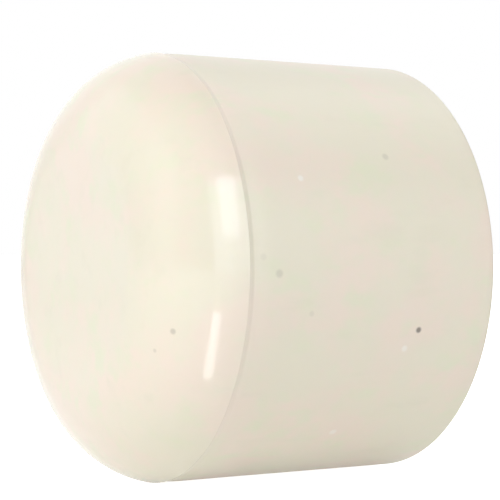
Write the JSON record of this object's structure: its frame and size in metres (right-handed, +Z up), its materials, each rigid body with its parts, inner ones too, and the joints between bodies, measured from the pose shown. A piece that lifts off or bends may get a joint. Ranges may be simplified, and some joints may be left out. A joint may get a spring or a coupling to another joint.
{
  "type": "pipe cap",
  "caption": "Short slip cap that closes the end of a plastic pipe: smooth cylindrical body, flat closed end with a rounded corner, tapered solvent-weld socket.",
  "frame": {"origin": "centre of the socket's mouth, in the plane of the mouth", "axes": "+X along the socket's axis, out of the mouth; the closed end is toward -X; +Z up with the cap lying on its side"},
  "size_m": [0.0172, 0.021, 0.021],
  "materials": {
    "cap_plastic": "cream moulded CPVC, polished closed end and satin body"
  },
  "bodies": {
    "root": {"cap_body": "cap_plastic"}
  },
  "joints": []
}
